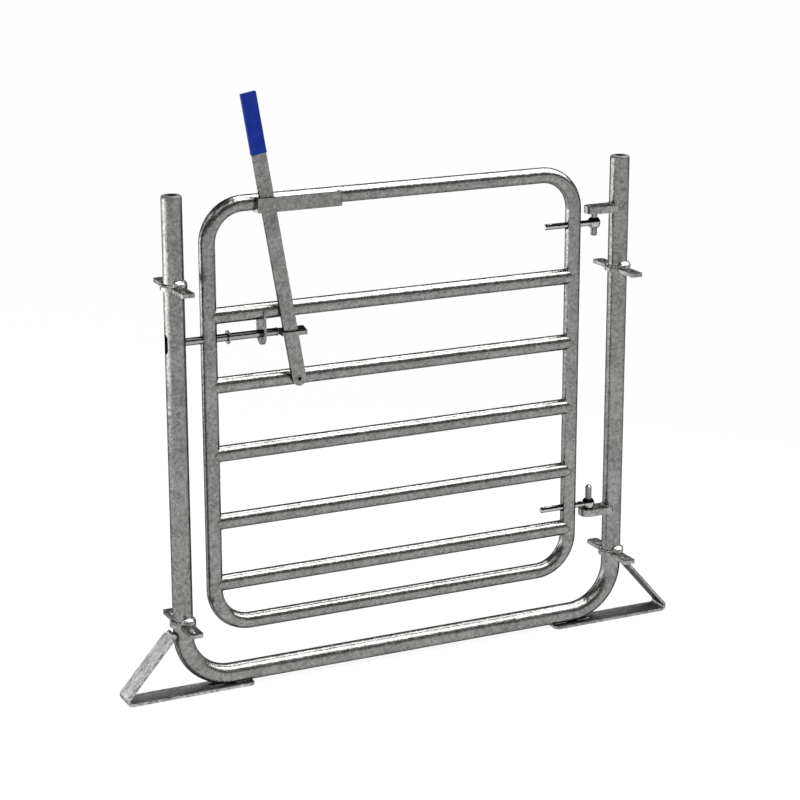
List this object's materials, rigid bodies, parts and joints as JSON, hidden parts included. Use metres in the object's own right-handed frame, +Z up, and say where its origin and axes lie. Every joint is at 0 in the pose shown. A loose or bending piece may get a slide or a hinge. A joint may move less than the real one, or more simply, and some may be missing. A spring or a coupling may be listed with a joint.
{
  "type": "sheep gate",
  "caption": "Walk-through sheep gate: barred swinging leaf in a one-piece bent tube frame, with slotted joining lugs, flat bar feet and a lever-worked sliding bolt.",
  "frame": {"origin": "on the ground, midway between the two posts, in the plane of the tubes", "axes": "+X from the latch post to the hinge post, -Y the side that the lever is on, +Z up"},
  "size_m": [1.294, 0.17, 1.2524],
  "materials": {
    "galvanised_steel": "hot-dip galvanised, mottled satin grey",
    "plated_steel": "bright zinc, smoother and shinier",
    "grip_plastic": "royal blue dipped plastic"
  },
  "bodies": {
    "frame": {"frame_hoop": "galvanised_steel", "left_foot": "galvanised_steel", "right_foot": "galvanised_steel", "left_upper_lug": "galvanised_steel", "left_lower_lug": "galvanised_steel", "right_upper_lug": "galvanised_steel", "right_lower_lug": "galvanised_steel", "upper_hinge_bar": "galvanised_steel", "lower_hinge_bar": "galvanised_steel", "upper_hinge_pin": "galvanised_steel", "lower_hinge_pin": "galvanised_steel"},
    "leaf": {"leaf_hoop": "galvanised_steel", "rail_1": "galvanised_steel", "rail_2": "galvanised_steel", "rail_3": "galvanised_steel", "rail_4": "galvanised_steel", "rail_5": "galvanised_steel", "upper_eye_bolt": "plated_steel", "lower_eye_bolt": "plated_steel", "lever_strap": "galvanised_steel", "rod_guide": "galvanised_steel", "pivot_pin": "galvanised_steel"},
    "bolt": {"latch_rod": "plated_steel", "stop_washer": "plated_steel", "lever_fork": "galvanised_steel"},
    "lever": {"lever_bar": "galvanised_steel", "grip": "grip_plastic"}
  },
  "joints": [
    {"name": "leaf_swing", "type": "hinge", "parent": "frame", "child": "leaf", "pos_m": [0.4515, 0, 0.278], "axis": [0, 0, 1], "range_deg": [-100, 100]},
    {"name": "lever_swing", "type": "hinge", "parent": "leaf", "child": "lever", "pos_m": [-0.253, -0.02145, 0.655], "axis": [0, 1, 0], "range_deg": [0, 21.1]},
    {"name": "bolt_slide", "type": "slide", "parent": "leaf", "child": "bolt", "axis": [1, 0, 0], "range_m": [0, 0.0368]}
  ],
  "couplings": [
    {"joint": "bolt_slide", "follows": "lever_swing", "m_per_rad": 0.09965}
  ]
}
